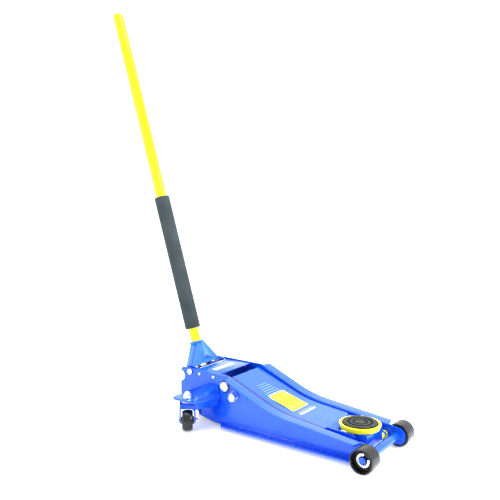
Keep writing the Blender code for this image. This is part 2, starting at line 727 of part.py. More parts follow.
def saddle():
    """Yellow cup that turns on the block, and the ridged rubber pad in it."""
    base = 0.0720
    wall = SADDLE_RADIUS
    cup = [(wall - 0.0012, 0.0868), (wall, 0.0856), (wall - 0.0035, base), (0.0204, base),
           (0.0204, 0.0790), (0.0525, 0.0790), (0.0535, 0.0868)]
    turned("saddle_cup", cup, YELLOW, (SADDLE_X, 0, 0), (0, 0, 0), 28, closed=True)
    top = SADDLE_TOP_Z
    pad = [(0, top), (0.0165, top), (0.0185, top - 0.003), (0.0215, top - 0.003), (0.0235, top),
           (0.0310, top), (0.0330, top - 0.003), (0.0365, top - 0.003), (0.0385, top),
           (0.0521, top), (0.0521, 0.0793), (0, 0.0793)]
    turned("saddle_pad", pad, RUBBER, (SADDLE_X, 0, 0), (0, 0, 0), 24)


# --- Hydraulic unit -----------------------------------------------------------------------------
UNIT_REAR_X = forward(0.688)
UNIT_FRONT_X = forward(0.592)
UNIT_TOP_Z = 0.118
SPRING_Y = 0.050
SPRING_Z = 0.070


def pump_roller_centre():
    return (YOKE_PIVOT[0] - PUMP_LEVER * cos(PUMP_LEVER_ANGLE),
            YOKE_PIVOT[1] + PUMP_LEVER * sin(PUMP_LEVER_ANGLE))


def power_unit_body():
    """Casting bolted between the side plates: ram cylinder, pump barrels and valve bore."""
    roller_x, _ = pump_roller_centre()
    body = box("power_unit_body", (UNIT_REAR_X, -0.038, 0.024), (UNIT_FRONT_X, 0.038, UNIT_TOP_Z),
               CASTING)
    foot = box("unit_foot", (forward(0.641), -0.0885, 0.0205), (forward(0.601), 0.0885, 0.0435),
               None)
    anchor = rod("unit_anchor", 0.0040, 0.116, None, (forward(0.681), 0, SPRING_Z), ALONG_Y, 12)
    ram_bore = rod("unit_ram_bore", RAM_RADIUS + 0.0004, 0.100, None,
                   (UNIT_FRONT_X - 0.034, 0, RAM_AXIS_Z), ALONG_X, 20)
    tie_bore = rod("unit_tie_bore", 0.0064, 0.2, None, (forward(0.621), 0, 0.032), ALONG_Y, 16)
    pump_bores = [rod(f"unit_pump_bore{side}", 0.0063, 0.040, None,
                      (roller_x, side * PUMP_Y, UNIT_TOP_Z - 0.010), segments=16)
                  for side in (1, -1)]
    valve_bore = rod("unit_valve_bore", 0.0053, 0.030, None, (roller_x, 0, UNIT_TOP_Z), segments=16)
    join(body, foot, anchor)
    cut(body, ram_bore, tie_bore, *pump_bores, valve_bore)


def ram():
    """Chromed ram, and the slotted head that pushes the arm's lug pin."""
    tail = UNIT_FRONT_X - 0.078
    nose = forward(0.5623)
    rod("ram", RAM_RADIUS, nose - tail, CHROME, ((nose + tail) / 2, 0, RAM_AXIS_Z), ALONG_X, 20)
    px, pz = RAM_PIN_START
    slot = rounded([(px - 0.0092, pz + 0.0100, 0.0085), (px + 0.0092, pz + 0.0100, 0.0085),
                    (px + 0.0092, pz - 0.0180, 0.0085), (px - 0.0092, pz - 0.0180, 0.0085)])
    outline = rounded([(forward(0.562), 0.102, 0.005), (forward(0.522), 0.102, 0.008),
                       (forward(0.522), 0.060, 0.008), (forward(0.562), 0.060, 0.005)])
    head = flat("ram_head", [outline, slot], 0.044, CASTING, (0, 0, 0), SIDE_ON)
    bar = rod("ram_head_bar", 0.0035, 0.116, None, (forward(0.555), 0, SPRING_Z), ALONG_Y, 12)
    join(head, bar)
    turned("cylinder_gland", [(0.024, forward(0.567)), (0.024, UNIT_FRONT_X + GAP),
                              (RAM_RADIUS + 0.0004, UNIT_FRONT_X + GAP),
                              (RAM_RADIUS + 0.0004, forward(0.567))],
           CASTING, (0, 0, RAM_AXIS_Z), ALONG_X, 20, closed=True)


def return_spring(side_name, side):
    start = forward(0.681) + 0.0045
    end = forward(0.555) - 0.0040
    coil(f"return_spring_{side_name}", 0.0065, 0.0020, end - start, 10,
         (start, side * SPRING_Y, SPRING_Z), ALONG_X, per_turn=7)


def pump(side_name, side):
    """Plunger under a yoke roller, with its return spring."""
    x, z = pump_roller_centre()
    top = z - PUMP_ROLLER_RADIUS - 0.0008
    profile = [(0, top), (0.0080, top), (0.0090, top - 0.001), (0.0090, top - 0.0045),
               (0.0060, top - 0.0045), (0.0060, UNIT_TOP_Z - 0.004), (0, UNIT_TOP_Z - 0.004)]
    turned(f"pump_plunger_{side_name}", profile, CHROME, (x, side * PUMP_Y, 0), (0, 0, 0), 16)
    base = UNIT_TOP_Z + GAP
    coil(f"pump_spring_{side_name}", 0.0078, 0.0018, top - 0.0048 - base, 4,
         (x, side * PUMP_Y, base))


def valve_spindle():
    """Release valve screw, turned by the handle."""
    x, _ = pump_roller_centre()
    top = UNIT_TOP_Z + 0.014
    profile = [(0, top), (0.0070, top), (0.0078, top - 0.001), (0.0078, top - 0.009),
               (0.0050, top - 0.009), (0.0050, UNIT_TOP_Z - 0.010), (0, UNIT_TOP_Z - 0.014)]
    spindle = turned("valve_spindle", profile, ZINC, (x, 0, 0), (0, 0, 0), 16)
    slot = box("valve_slot", (x - 0.010, -0.0016, top - 0.005), (x + 0.010, 0.0016, top + 0.002),
               None)
    cut(spindle, slot)


def power_unit():
    power_unit_body()
    ram()
    valve_spindle()
    for side_name, side in SIDES:
        return_spring(side_name, side)
        pump(side_name, side)


# --- Handle and yoke ----------------------------------------------------------------------------
def handle_point(along, across=0.0, y=0.0):
    """World position in the tilted handle frame: along the handle from the yoke pivot, then across."""
    return (YOKE_PIVOT[0] - along * sin(HANDLE_TILT) + across * cos(HANDLE_TILT), y,
            YOKE_PIVOT[1] + along * cos(HANDLE_TILT) + across * sin(HANDLE_TILT))


TILTED = (0, -HANDLE_TILT, 0)
YOKE_PLATE = -0.0115
EAR_Y = 0.0765


def yoke_gusset(name, side):
    """Folded side of the yoke: a slanted flange from the collar down to the ear."""
    corners = []
    for along, y, back in ((0.083, 0.0165, 0.040), (0.083, 0.0205, 0.040),
                           (0.010, 0.0740, 0.032), (0.010, 0.0790, 0.032)):
        for across in (YOKE_PLATE + 0.001, -back):
            corners.append(handle_point(along, across, side * y))
    return hull(name, corners, None)


def yoke_ear(name, side):
    outline = rounded([(-0.0160, -0.0160, 0.0155), (0.0160, -0.0160, 0.0155),
                       (0.0160, 0.0080, 0.012), (YOKE_PLATE + 0.002, 0.0180, 0),
                       (-0.0340, 0.0180, 0), (-0.0340, 0.0060, 0.008)])
    return flat(name, [outline], 0.006, None, handle_point(0, 0, side * EAR_Y),
                (pi / 2, -HANDLE_TILT, 0))


def yoke_lug(name, side):
    """Small plate that carries the outer end of a pump roller's pin."""
    outline = rounded([(YOKE_PLATE, 0.0240, 0), (-0.0300, 0.0240, 0.006), (-0.0300, 0.0070, 0.006),
                       (YOKE_PLATE, 0.0070, 0)])
    return flat(name, [outline], 0.004, None, handle_point(0, 0, side * 0.0340),
                (pi / 2, -HANDLE_TILT, 0))


def handle_yoke():
    """Handle socket with its collar, folded front plate, side flanges and pivot ears."""
    tube = [(0, COLLAR_HEIGHT), (0.0263, COLLAR_HEIGHT), (0.0270, COLLAR_HEIGHT - 0.0015),
            (0.0258, COLLAR_HEIGHT - 0.0060), (0.0220, COLLAR_HEIGHT - 0.0085), (0.0215, 0.070),
            (0.0215, 0.027), (0, 0.027)]
    socket = turned("handle_yoke", tube, BLUE, handle_point(0, HANDLE_OFFSET), TILTED, 20)
    front = [(-0.0190, 0.0840), (-0.0767, 0.0110), (0.0767, 0.0110), (0.0190, 0.0840)]
    plate = flat("yoke_plate", [front], 0.004, None, handle_point(0, YOKE_PLATE),
                 (Matrix.Rotation(-HANDLE_TILT, 3, "Y") @ Matrix.Rotation(pi / 2, 3, "Z")
                  @ Matrix.Rotation(pi / 2, 3, "X")).to_euler())
    pieces = [plate]
    for side in (1, -1):
        pieces += [yoke_gusset(f"yoke_gusset{side}", side), yoke_ear(f"yoke_ear{side}", side),
                   yoke_lug(f"yoke_lug{side}", side)]
    join(socket, *pieces)
    bore = rod("yoke_bore", 0.0173, 0.080, None, handle_point(0.060, HANDLE_OFFSET), TILTED, 20)
    shaft = rod("yoke_shaft_bore", 0.0064, 0.2, None, handle_point(0), ALONG_Y, 16)
    x, z = pump_roller_centre()
    roller_pin = rod("yoke_roller_bore", 0.0033, 0.080, None, (x, 0, z), ALONG_Y, 12)
    return cut(socket, bore, shaft, roller_pin)


def yoke_rollers():
    x, z = pump_roller_centre()
    for side_name, side in SIDES:
        r = PUMP_ROLLER_RADIUS
        profile = [(0, 0.0350), (0.0030, 0.0350), (0.0030, 0.0315), (r, 0.0315), (r, 0.0145),
                   (0, 0.0145)]
        turned(f"pump_roller_{side_name}", profile, ZINC, (x, 0, z), (-side * pi / 2, 0, 0), 16)
    turned("yoke_sleeve", [(0.0095, 0.0480), (0.0095, 0.0040), (0.0064, 0.0040), (0.0064, 0.0480)],
           NAVY, (YOKE_PIVOT[0], 0, YOKE_PIVOT[1]), ALONG_Y, 16, closed=True)


def handle():
    """Two-part handle with a foam sleeve, and the driver for the release valve at its foot."""
    top = COLLAR_HEIGHT + HANDLE_LENGTH
    joint = 0.460
    base = handle_point(0, HANDLE_OFFSET)
    r = LOWER_TUBE_RADIUS
    turned("handle_lower_tube",
           [(r, joint), (r, 0.030), (r - 0.0025, 0.030), (r - 0.0025, joint)],
           YELLOW, base, TILTED, 20, closed=True)
    r = UPPER_TUBE_RADIUS
    upper = [(0, top), (0.0105, top - 0.0012), (0.0160, top - 0.0050), (r, top - 0.0110),
             (r, joint - 0.060), (LOWER_TUBE_RADIUS + GAP, joint - 0.060),
             (LOWER_TUBE_RADIUS + GAP, joint + 0.001), (0.0162, joint + 0.003),
             (0.0162, top - 0.0130), (0, top - 0.0060)]
    turned("handle_upper_tube", upper, YELLOW, base, TILTED, 20)
    low, high = 0.137, 0.613
    inner_low, inner_high = LOWER_TUBE_RADIUS + GAP, UPPER_TUBE_RADIUS + GAP
    grip = [(inner_high, high), (GRIP_RADIUS - 0.0020, high), (GRIP_RADIUS, high - 0.002),
            (GRIP_RADIUS, low + 0.002), (GRIP_RADIUS - 0.0020, low), (inner_low, low),
            (inner_low, joint - 0.0605), (inner_high, joint - 0.0600)]
    turned("handle_grip", grip, FOAM, base, TILTED, 20, closed=True)
    driver = [(0, 0.0450), (0.0140, 0.0450), (0.0140, 0.0320), (0.0060, 0.0310), (0.0060, 0.015),
              (0.0030, 0.012), (0, 0.012)]
    turned("release_driver", driver, ZINC, base, TILTED, 16)


def build():
    chassis()
    wheels()
    lift_arm()
    for side_name, side in SIDES:
        tie_rod(side_name, side)
    saddle_block()
    saddle()
    power_unit()
    handle_yoke()
    yoke_rollers()
    handle()


build()
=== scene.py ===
"""Long low trolley jack in its finish: blue enamelled sheet steel, yellow handle and saddle, black
rollers, bright zinc fixings and a foam grip.

X runs from the handle to the saddle, Y to the jack's left, Z up, in metres, as in the frame.
"""

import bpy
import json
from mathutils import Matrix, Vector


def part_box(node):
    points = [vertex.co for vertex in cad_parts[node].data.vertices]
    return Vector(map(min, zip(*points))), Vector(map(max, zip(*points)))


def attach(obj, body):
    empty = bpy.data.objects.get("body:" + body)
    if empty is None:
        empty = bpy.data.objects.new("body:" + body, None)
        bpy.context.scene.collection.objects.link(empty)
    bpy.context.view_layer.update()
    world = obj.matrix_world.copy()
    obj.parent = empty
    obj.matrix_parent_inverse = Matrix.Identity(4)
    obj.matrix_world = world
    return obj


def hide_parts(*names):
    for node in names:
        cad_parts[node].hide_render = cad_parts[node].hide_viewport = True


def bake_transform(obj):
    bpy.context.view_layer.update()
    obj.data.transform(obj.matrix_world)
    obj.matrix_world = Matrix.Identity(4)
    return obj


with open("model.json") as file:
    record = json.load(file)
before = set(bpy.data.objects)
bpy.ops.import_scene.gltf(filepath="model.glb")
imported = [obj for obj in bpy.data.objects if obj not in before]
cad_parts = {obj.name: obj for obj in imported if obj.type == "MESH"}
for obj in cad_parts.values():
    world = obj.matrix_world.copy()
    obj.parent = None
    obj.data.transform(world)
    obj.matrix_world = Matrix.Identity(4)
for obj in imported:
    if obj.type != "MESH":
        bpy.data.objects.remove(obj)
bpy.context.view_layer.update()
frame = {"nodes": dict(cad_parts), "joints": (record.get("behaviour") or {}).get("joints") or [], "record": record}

import json
from math import cos, pi, radians, sin

import bmesh
import bpy
import numpy as np
from mathutils import Matrix, Vector

JOINTS = {joint["name"]: joint for joint in frame["joints"]}
BODY_OF = {node: body for body, nodes in frame["record"]["behaviour"]["bodies"].items()
           for node in nodes}
SLOT_OF = {part["node"]: part["material_slot"] for part in frame["record"]["subparts"]}
SIDES = (("left", 1), ("right", -1))
AXLE_X, _, AXLE_Z = JOINTS["front_roller_left_spin"]["pos_m"]
Y_AXIS = (0, 1, 0)
Z_AXIS = (0, 0, 1)


def ahead(distance):
    """The X of a point this far behind the front axle."""
    return AXLE_X - distance


# --- Camera, light and floor --------------------------------------------------------------------
CAMERA_FROM_AXLE = (0.7637, -1.7239, 0.7763)
CAMERA_TURN = (radians(35.82), radians(5.46), radians(0.35))
CAMERA_LENS = 47.51


def make_camera():
    yaw, pitch, roll = CAMERA_TURN
    back = Vector((sin(yaw) * cos(pitch), -cos(yaw) * cos(pitch), sin(pitch)))
    right = Vector((cos(yaw), sin(yaw), 0))
    up = back.cross(right)
    across = right * cos(roll) + up * sin(roll)
    above = up * cos(roll) - right * sin(roll)
    data = bpy.data.cameras.new("bench_camera")
    data.sensor_width = 36
    data.lens = CAMERA_LENS
    camera = bpy.data.objects.new("bench_camera", data)
    camera.matrix_world = Matrix((
        (across.x, above.x, back.x, AXLE_X + CAMERA_FROM_AXLE[0]),
        (across.y, above.y, back.y, CAMERA_FROM_AXLE[1]),
        (across.z, above.z, back.z, CAMERA_FROM_AXLE[2]),
        (0, 0, 0, 1),
    ))
    bpy.context.scene.collection.objects.link(camera)
    bpy.context.scene.camera = camera


def area_light(name, place, target, size, power):
    data = bpy.data.lights.new(name, "AREA")
    data.shape = "RECTANGLE"
    data.size, data.size_y = size
    data.energy = power
    lamp = bpy.data.objects.new(name, data)
    lamp.location = place
    direction = Vector(target) - Vector(place)
    lamp.rotation_euler = direction.to_track_quat("-Z", "Y").to_euler()
    bpy.context.scene.collection.objects.link(lamp)


TOWARDS_CAMERA = (0.585, -0.811, 0.0)
BRIGHT_BEHIND_JACK, BRIGHT_BEHIND_CAMERA = 1.15, 0.80


def make_world():
    """White all round, a little dimmer behind the camera than behind the jack."""
    world = bpy.data.worlds.new("white_room")
    world.use_nodes = True
    tree = world.node_tree
    towards = tree.nodes.new("ShaderNodeVectorMath")
    towards.operation = "DOT_PRODUCT"
    towards.inputs[1].default_value = TOWARDS_CAMERA
    tree.links.new(tree.nodes.new("ShaderNodeTexCoord").outputs["Generated"], towards.inputs[0])
    level = remap(tree, towards.outputs["Value"], -0.6, 0.8, BRIGHT_BEHIND_JACK,
                  BRIGHT_BEHIND_CAMERA)
    tree.links.new(level, tree.nodes["Background"].inputs["Strength"])
    tree.nodes["Background"].inputs["Color"].default_value = (1, 1, 1, 1)
    bpy.context.scene.world = world


def make_studio():
    make_world()
    bpy.context.scene.view_settings.view_transform = "Standard"
    bpy.context.scene.view_settings.look = "High Contrast"
    area_light("overhead", (0.1, 0.3, 3.0), (0.1, 0, 0), (2.6, 1.6), 40)
    area_light("front_panel", (2.6, 0.6, 1.7), (0.2, 0, 0.1), (1.3, 1.3), 30)
    area_light("near_strip", (-1.3, -2.4, 1.0), (0, 0, 0.3), (0.4, 1.6), 9)
    mesh = bpy.data.meshes.new("floor")
    edit = bmesh.new()
    bmesh.ops.create_grid(edit, x_segments=1, y_segments=1, size=12)
    edit.to_mesh(mesh)
    edit.free()
    floor = bpy.data.objects.new("floor", mesh)
    bpy.context.scene.collection.objects.link(floor)
    material = bpy.data.materials.new("floor_paper")
    material.use_nodes = True
    shader = material.node_tree.nodes["Principled BSDF"]
    shader.inputs["Base Color"].default_value = (0.92, 0.94, 0.95, 1)
    shader.inputs["Roughness"].default_value = 0.6
    shader.inputs["Emission Color"].default_value = (1, 1, 1, 1)
    shader.inputs["Emission Strength"].default_value = 0.22
    mesh.materials.append(material)


# --- Effects shared by the finishes -------------------------------------------------------------
def effect(name, inputs, outputs):
    """An empty shader group with named sockets, and its input and output nodes."""
    group = bpy.data.node_groups.new(name, "ShaderNodeTree")
    for title, kind, value in inputs:
        socket = group.interface.new_socket(title, in_out="INPUT", socket_type=kind)
        if value is not None:
            socket.default_value = value
    for title, kind in outputs:
        group.interface.new_socket(title, in_out="OUTPUT", socket_type=kind)
    return group, group.nodes.new("NodeGroupInput"), group.nodes.new("NodeGroupOutput")


def noise(tree, place, scale, detail=2.0, roughness=0.5):
    """A noise node on these coordinates; scale may be a number or a socket."""
    node = tree.nodes.new("ShaderNodeTexNoise")
    tree.links.new(place, node.inputs["Vector"])
    if isinstance(scale, (int, float)):
        node.inputs["Scale"].default_value = scale
    else:
        tree.links.new(scale, node.inputs["Scale"])
    node.inputs["Detail"].default_value = detail
    node.inputs["Roughness"].default_value = roughness
    return node.outputs["Fac"]


def remap(tree, value, low, high, new_low=0.0, new_high=1.0):
    node = tree.nodes.new("ShaderNodeMapRange")
    tree.links.new(value, node.inputs["Value"])
    for title, number in (("From Min", low), ("From Max", high),
                          ("To Min", new_low), ("To Max", new_high)):
        if isinstance(number, (int, float)):
            node.inputs[title].default_value = number
        else:
            tree.links.new(number, node.inputs[title])
    return node.outputs["Result"]


FLOAT, VECTOR = "NodeSocketFloat", "NodeSocketVector"


def make_tone():
    """Broad soft unevenness: two octaves of noise, stretched to fill 0 to 1."""
    group, given, result = effect("soft_tone", [("Place", VECTOR, None), ("Scale", FLOAT, 12.0)],
                                  [("Tone", FLOAT)])
    value = noise(group, given.outputs["Place"], given.outputs["Scale"], 2.5)
    group.links.new(remap(group, value, 0.32, 0.68), result.inputs["Tone"])
    return group


def make_grain():
    """Fine surface relief: a broad ripple with a finer grain on it."""
    group, given, result = effect(
        "fine_grain", [("Place", VECTOR, None), ("Scale", FLOAT, 600.0), ("Ripple", FLOAT, 0.5)],
        [("Height", FLOAT)])
    fine = noise(group, given.outputs["Place"], given.outputs["Scale"], 3.0, 0.6)
    broad = noise(group, given.outputs["Place"], 130.0, 1.0)
    ripple = group.nodes.new("ShaderNodeMath")
    ripple.operation = "MULTIPLY_ADD"
    group.links.new(broad, ripple.inputs[0])
    group.links.new(given.outputs["Ripple"], ripple.inputs[1])
    group.links.new(fine, ripple.inputs[2])
    group.links.new(ripple.outputs[0], result.inputs["Height"])
    return group


def make_scuffs():
    """Sparse rubbed marks: where a stretched noise and a broad noise are both high."""
    group, given, result = effect("scuffs", [("Place", VECTOR, None), ("Amount", FLOAT, 0.5)],
                                  [("Mask", FLOAT)])
    stretch = group.nodes.new("ShaderNodeMapping")
    stretch.inputs["Scale"].default_value = (14.0, 90.0, 60.0)
    stretch.inputs["Rotation"].default_value = (0.2, 0.1, 0.35)
    group.links.new(given.outputs["Place"], stretch.inputs["Vector"])
    lines = remap(group, noise(group, stretch.outputs["Vector"], 3.0, 4.0, 0.7), 0.60, 0.72)
    patches = remap(group, noise(group, given.outputs["Place"], 16.0, 2.0), 0.50, 0.66)
    both = group.nodes.new("ShaderNodeMath")
    both.operation = "MULTIPLY"
    group.links.new(lines, both.inputs[0])
    group.links.new(patches, both.inputs[1])
    scaled = group.nodes.new("ShaderNodeMath")
    scaled.operation = "MULTIPLY"
    group.links.new(both.outputs[0], scaled.inputs[0])
    group.links.new(given.outputs["Amount"], scaled.inputs[1])
    group.links.new(scaled.outputs[0], result.inputs["Mask"])
    return group


def make_zone(name, along):
    """1 between two distances from an axis, or between two distances along it, 0 elsewhere."""
    group, given, result = effect(
        name, [("Place", VECTOR, None), ("Centre", VECTOR, None), ("Axis", VECTOR, None),
               ("Inner", FLOAT, 0.0), ("Outer", FLOAT, 1.0)], [("Mask", FLOAT)])

    def vector_step(operation, first, second, output="Vector"):
        node = group.nodes.new("ShaderNodeVectorMath")
        node.operation = operation
        group.links.new(first, node.inputs[0])
        if second is not None:
            group.links.new(second, node.inputs[1])
        return node.outputs[output]

    offset = vector_step("SUBTRACT", given.outputs["Place"], given.outputs["Centre"])
    if along:
        distance = vector_step("DOT_PRODUCT", offset, given.outputs["Axis"], "Value")
    else:
        across = vector_step("CROSS_PRODUCT", offset, given.outputs["Axis"])
        distance = vector_step("LENGTH", across, None, "Value")
    beyond, within = group.nodes.new("ShaderNodeMath"), group.nodes.new("ShaderNodeMath")
    beyond.operation, within.operation = "GREATER_THAN", "LESS_THAN"
    both = group.nodes.new("ShaderNodeMath")
    both.operation = "MULTIPLY"
    for node, limit in ((beyond, "Inner"), (within, "Outer")):
        group.links.new(distance, node.inputs[0])
        group.links.new(given.outputs[limit], node.inputs[1])
    group.links.new(beyond.outputs[0], both.inputs[0])
    group.links.new(within.outputs[0], both.inputs[1])
    group.links.new(both.outputs[0], result.inputs["Mask"])
    return group


TONE, GRAIN, SCUFFS = make_tone(), make_grain(), make_scuffs()
RING, BAND = make_zone("ring", False), make_zone("band", True)


def zone(group, centre, axis, inner, outer, colour):
    """A plain dull colour in a ring around an axis, or in a band across it."""
    return group, dict(Centre=centre, Axis=axis, Inner=inner, Outer=outer), colour


def mix_colour(tree, factor, first, second):
    node = tree.nodes.new("ShaderNodeMix")
    node.data_type = "RGBA"
    tree.links.new(factor, node.inputs["Factor"])
    for socket, colour in ((node.inputs["A"], first), (node.inputs["B"], second)):
        if isinstance(colour, tuple):
            socket.default_value = (*colour, 1)
        else:
            tree.links.new(colour, socket)
    return node.outputs["Result"]


FINISHES = {}


def finish(name, colour, second, roughness, swing, metallic=0.0, coat=0.0, tone=12.0, grain=600.0,
           ripple=0.5, depth=0.00002, scuffs=0.0, scuffed=(0.5, 0.5, 0.5), specular=0.5, zones=()):
    """A finish: two close colours by soft tone, roughness that swings with it, relief, scuffs and
    plain zones."""
    material = bpy.data.materials.new(name)
    material.use_nodes = True
    tree = material.node_tree
    shader = tree.nodes["Principled BSDF"]
    place = tree.nodes.new("ShaderNodeTexCoord").outputs["Object"]

    def use(group, **values):
        node = tree.nodes.new("ShaderNodeGroup")
        node.node_tree = group
        tree.links.new(place, node.inputs["Place"])
        for title, number in values.items():
            node.inputs[title].default_value = number
        return node.outputs[0]

    soft = use(TONE, Scale=tone)
    base = mix_colour(tree, soft, colour, second)
    rough = remap(tree, use(TONE, Scale=tone * 3.7), 0, 1, roughness - swing, roughness + swing)
    if scuffs:
        rubbed = use(SCUFFS, Amount=scuffs)
        base = mix_colour(tree, rubbed, base, scuffed)
    metal = metallic
    for group, settings, plain in zones:
        mask = use(group, **settings)
        base = mix_colour(tree, mask, base, plain)
        metal = remap(tree, mask, 0, 1, metal, 0.0)
    if zones:
        tree.links.new(metal, shader.inputs["Metallic"])
    else:
        shader.inputs["Metallic"].default_value = metallic
    tree.links.new(base, shader.inputs["Base Color"])
    tree.links.new(rough, shader.inputs["Roughness"])
    relief = tree.nodes.new("ShaderNodeBump")
    relief.inputs["Strength"].default_value = 1.0
    relief.inputs["Distance"].default_value = depth
    tree.links.new(use(GRAIN, Scale=grain, Ripple=ripple), relief.inputs["Height"])
    tree.links.new(relief.outputs["Normal"], shader.inputs["Normal"])
    shader.inputs["Coat Weight"].default_value = coat
    shader.inputs["Coat Roughness"].default_value = 0.06
    shader.inputs["Specular IOR Level"].default_value = specular
    FINISHES[name] = material
    return material


ZINC = dict(colour=(0.87, 0.88, 0.87), second=(0.76, 0.78, 0.78), roughness=0.26, swing=0.08,
            metallic=0.85, tone=60, grain=1200, ripple=0.4, depth=0.00001)
BLUE = dict(colour=(0.008, 0.112, 0.70), second=(0.012, 0.128, 0.76), roughness=0.24, swing=0.05,
            coat=0.5, tone=7, grain=500, ripple=1.6, depth=0.00002, scuffs=0.05,
            scuffed=(0.16, 0.28, 0.80))
# A paler copy of the blue paint: painted light, for faces that catch the light.
PAINTED_LIT_BLUE = dict(colour=(0.034, 0.205, 0.82), second=(0.048, 0.235, 0.86), roughness=0.20,
                 swing=0.05, coat=0.6, tone=9, grain=500, ripple=1.2, depth=0.00002)
NEAR_BLACK = (0.010, 0.012, 0.022)
PAINTED_SHADE_NAVY = (0.0005, 0.022, 0.26)
MID_BLUE = (0.06, 0.22, 0.80)
ORIGIN = (0, 0, 0)

# Zones of plain colour, in metres: from and to a distance from the axis or plane they lie about.
# Painted shade: near-black rings in the saddle pad's grooves.
PAD_GROOVES_PAINTED_SHADE = ((0.0170, 0.0230), (0.0314, 0.0380))
# A near-black ring round the arm pin's head.
ARM_PIN_BLACK_RING = (0.0157, 0.0300)
# Painted shade: the clip's near-black centre, in the gap round the axle end.
CLIP_CENTRE_PAINTED_SHADE = (0.0, 0.0134)
LINK_BOLT_WASHER = (0.0138, 0.0166)
SHANK_INSIDE = (-0.086, 0.086)
# Painted shade: navy lines on the arm plate, inside the near edge and at the far edge, where the gaps by the side
# plates' flanges lie in shade.
PLATE_FAR_PAINTED_SHADE = (0.0843, 0.1000)
PLATE_NEAR_PAINTED_SHADE, PLATE_PAINTED_SHADE_WIDTH, PLATE_PAINTED_SHADE_SLANT = 0.0712, 0.0100, 0.020
# Painted shade on the yoke: beyond this plane its side flange and ear keep the plain blue, darker than its
# painted-light front.
YOKE_PAINTED_SHADE_PLANE, YOKE_PAINTED_SHADE_FROM = (0, -1, 0.828), (0.2160, 0.4)


def make_blue_finishes():
    """The blue paint, its paler copy that is painted light, the arm plate with painted shade along its edges, and
    the yoke with painted light on its front and painted shade on its side.
    """
    finish("blue_paint", **BLUE)
    # Painted shade: a slanting navy line inside the near edge and a navy band at the far edge.
    near = PLATE_NEAR_PAINTED_SHADE - PLATE_PAINTED_SHADE_SLANT * ahead(0.166)
    finish("blue_plate_painted_shade_edges", zones=[
        zone(BAND, ORIGIN, (-PLATE_PAINTED_SHADE_SLANT, -1, 0), near, near + PLATE_PAINTED_SHADE_WIDTH, PAINTED_SHADE_NAVY),
        zone(BAND, ORIGIN, Y_AXIS, *PLATE_FAR_PAINTED_SHADE, PAINTED_SHADE_NAVY)], **BLUE)
    finish("blue_paint_painted_lit", **PAINTED_LIT_BLUE)
    finish("yoke_painted_light_and_shade", zones=[zone(BAND, ORIGIN, YOKE_PAINTED_SHADE_PLANE, *YOKE_PAINTED_SHADE_FROM,
                                     BLUE["colour"])], **PAINTED_LIT_BLUE)


def make_zinc_finishes():
    """Bright zinc plate, and the zinc pieces that are partly black or blue; the clip's black centre is painted
    shade in the gap round the axle end.
    """
    finish("zinc_plate", **ZINC)
    pivot = JOINTS["lift_arm_pivot"]["pos_m"]
    bolt = JOINTS["tie_rod_pivot"]["pos_m"]
    for name, group, centre, limits, colour in (
            ("zinc_with_black_ring", RING, pivot, ARM_PIN_BLACK_RING, NEAR_BLACK),
            ("clip_zinc_painted_shade", RING, (AXLE_X, 0, AXLE_Z), CLIP_CENTRE_PAINTED_SHADE, NEAR_BLACK),
            ("zinc_on_blue_washer", RING, bolt, LINK_BOLT_WASHER, MID_BLUE),
            ("dark_shank", BAND, ORIGIN, SHANK_INSIDE, NEAR_BLACK)):
        finish(name, zones=[zone(group, centre, Y_AXIS, *limits, colour)], **ZINC)


def make_finishes():
    make_blue_finishes()
    make_zinc_finishes()
    # Navy: painted shade, a shaded copy of the blue for pieces seen only in shadow inside the jack.
    finish("navy_paint", (0.004, 0.010, 0.20), (0.006, 0.014, 0.25), 0.34, 0.06, coat=0.3)
    finish("yellow_paint", (0.93, 0.84, 0.004), (0.96, 0.90, 0.008), 0.24, 0.05, coat=0.5,
           tone=9, grain=500, ripple=1.4, depth=0.00002, scuffs=0.05, scuffed=(0.80, 0.74, 0.2))
    finish("black_steel", (0.010, 0.011, 0.012), (0.024, 0.025, 0.027), 0.25, 0.09, coat=0.3,
           tone=26, grain=900, ripple=0.6, depth=0.00003, scuffs=0.5, scuffed=(0.16, 0.16, 0.16))
    finish("cast_iron", (0.050, 0.054, 0.060), (0.085, 0.088, 0.094), 0.55, 0.10, metallic=0.4,
           tone=40, grain=700, ripple=1.2, depth=0.00012)
    finish("hard_chrome", (0.78, 0.79, 0.80), (0.72, 0.73, 0.75), 0.09, 0.03, metallic=1.0)
    finish("spring_steel", (0.20, 0.20, 0.21), (0.12, 0.12, 0.13), 0.34, 0.07, metallic=0.9)
    home = JOINTS["saddle_turn"]["pos_m"]
    # Painted shade: near-black rings darken the pad's grooves.
    finish("saddle_rubber", (0.044, 0.050, 0.045), (0.066, 0.073, 0.066), 0.58, 0.08, tone=30,
           grain=1500, ripple=0.5, depth=0.00005, specular=0.4,
           zones=[zone(RING, home, Z_AXIS, *groove, NEAR_BLACK) for groove in PAD_GROOVES_PAINTED_SHADE])
    finish("foam_grip", (0.062, 0.080, 0.087), (0.082, 0.100, 0.107), 0.80, 0.06, tone=14,
           grain=1900, ripple=0.4, depth=0.00022, specular=0.3)
    finish("label_yellow", (0.93, 0.80, 0.004), (0.97, 0.86, 0.010), 0.34, 0.04, coat=0.3, tone=14)
    finish("label_pale_yellow", (0.93, 0.86, 0.28), (0.95, 0.88, 0.20), 0.34, 0.04, tone=200)
    finish("label_white", (0.86, 0.88, 0.95), (0.76, 0.80, 0.93), 0.40, 0.05, tone=20)
    finish("label_pale_blue", (0.40, 0.55, 0.92), (0.32, 0.48, 0.90), 0.40, 0.05, tone=20)


# --- Surfaces -----------------------------------------------------------------------------------
SKEW = (0.31, 0.77, 0.55)


def unit(vector):
    return np.asarray(vector, float) / np.linalg.norm(vector)


def across_of(axis):
    """Two directions at right angles to an axis and to each other."""
    side = unit(np.cross(axis, SKEW))
    return side, np.cross(axis, side)


